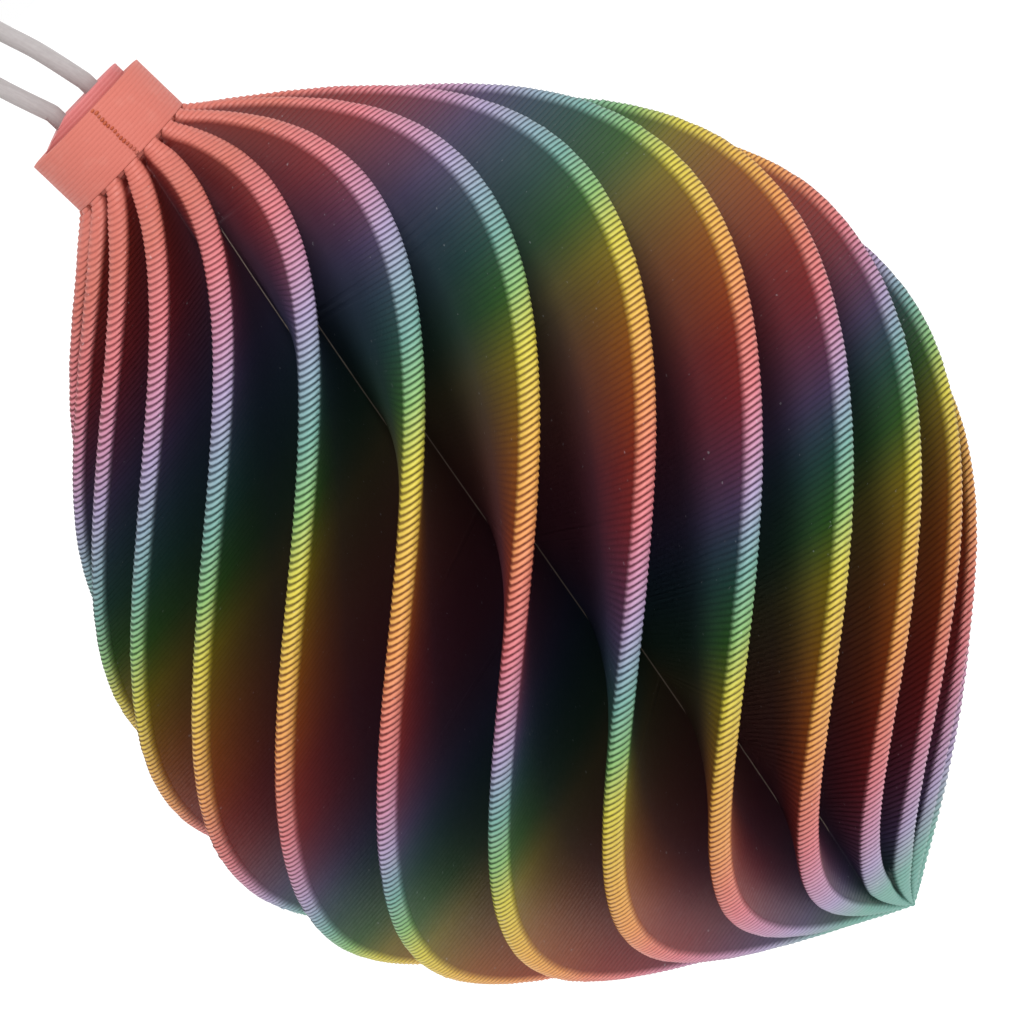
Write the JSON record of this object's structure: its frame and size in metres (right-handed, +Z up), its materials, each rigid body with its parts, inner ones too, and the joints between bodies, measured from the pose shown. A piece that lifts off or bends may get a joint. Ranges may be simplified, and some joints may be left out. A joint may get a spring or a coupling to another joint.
{
  "type": "hanging bauble",
  "caption": "Onion-shaped hanging bauble with deep twisted fins, a round collar, a press-in plug and a slim cord loop, printed in rainbow bands.",
  "frame": {"origin": "the hook point: the underside of the top of the cord loop, where a hook or twig carries the bauble", "axes": "+Z up along the bauble's own axis, through the collar and the bottom tip; +X along the line through the cord's two strands; +Y away from the front"},
  "size_m": [0.0596, 0.0596, 0.1336],
  "materials": {
    "rainbow_print": "silk-like printed plastic in rainbow bands with fine layer lines",
    "plug_print": "silk-like printed plastic, pink",
    "cord": "matte grey-beige round cord"
  },
  "bodies": {
    "loop": {"hanging_loop": "cord"},
    "plug": {"plug": "plug_print", "knot": "cord"},
    "bauble": {"finned_body": "rainbow_print", "collar": "rainbow_print"}
  },
  "joints": [
    {"name": "loop_fold", "type": "hinge", "parent": "loop", "child": "plug", "pos_m": [0, 0, -0.0535], "axis": [1, 0, 0], "range_deg": [-90, 90]},
    {"name": "plug_pull", "type": "slide", "parent": "plug", "child": "bauble", "axis": [0, 0, -1], "range_m": [0, 0.006]}
  ]
}
